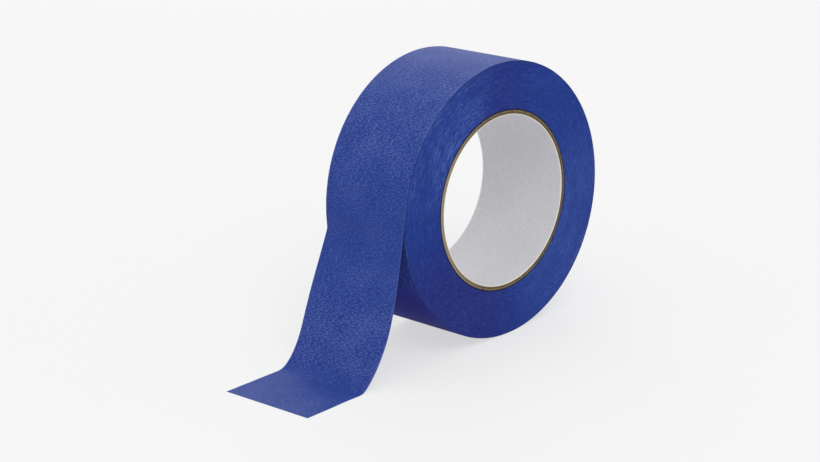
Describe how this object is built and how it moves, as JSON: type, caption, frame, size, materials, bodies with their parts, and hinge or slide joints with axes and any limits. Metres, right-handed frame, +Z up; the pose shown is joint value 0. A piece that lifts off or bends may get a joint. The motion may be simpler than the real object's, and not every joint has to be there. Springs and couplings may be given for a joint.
{
  "type": "masking tape roll",
  "caption": "Roll of blue crepe-paper masking tape on a paperboard core, standing on its edge with its loose end hanging down and lying flat.",
  "frame": {"origin": "centre of the core's bore, halfway across the tape's width", "axes": "+Y along the bore to the back of the roll, +Z up, and the loose end leaves the roll on the -X side"},
  "size_m": [0.185, 0.048, 0.1232],
  "materials": {
    "crepe_paper": "matte",
    "adhesive": "satin",
    "core_board": "matte",
    "liner_paper": "matte"
  },
  "bodies": {
    "roll": {"core_liner": "liner_paper", "core_ply_1": "core_board", "core_ply_2": "core_board", "core_ply_3": "core_board", "core_ply_4": "core_board", "wound_tape": "crepe_paper", "outer_turn_backing": "crepe_paper", "outer_turn_adhesive": "adhesive"},
    "peel_strip": {"peel_strip_backing": "crepe_paper", "peel_strip_adhesive": "adhesive"},
    "hanging_run": {"hanging_run_backing": "crepe_paper", "hanging_run_adhesive": "adhesive"},
    "end_flap": {"end_flap_backing": "crepe_paper", "end_flap_adhesive": "adhesive"}
  },
  "joints": [
    {"name": "unwind", "type": "hinge", "parent": "roll", "child": "peel_strip", "pos_m": [0, 0, 0], "axis": [0, 1, 0], "continuous": true},
    {"name": "lift", "type": "hinge", "parent": "peel_strip", "child": "hanging_run", "pos_m": [-0.06243, 0, -0.0032], "axis": [0, 1, 0], "range_deg": [0, 120]},
    {"name": "crease", "type": "hinge", "parent": "hanging_run", "child": "end_flap", "pos_m": [-0.0885, 0, -0.05878], "axis": [0, 1, 0], "range_deg": [0, 100]}
  ]
}
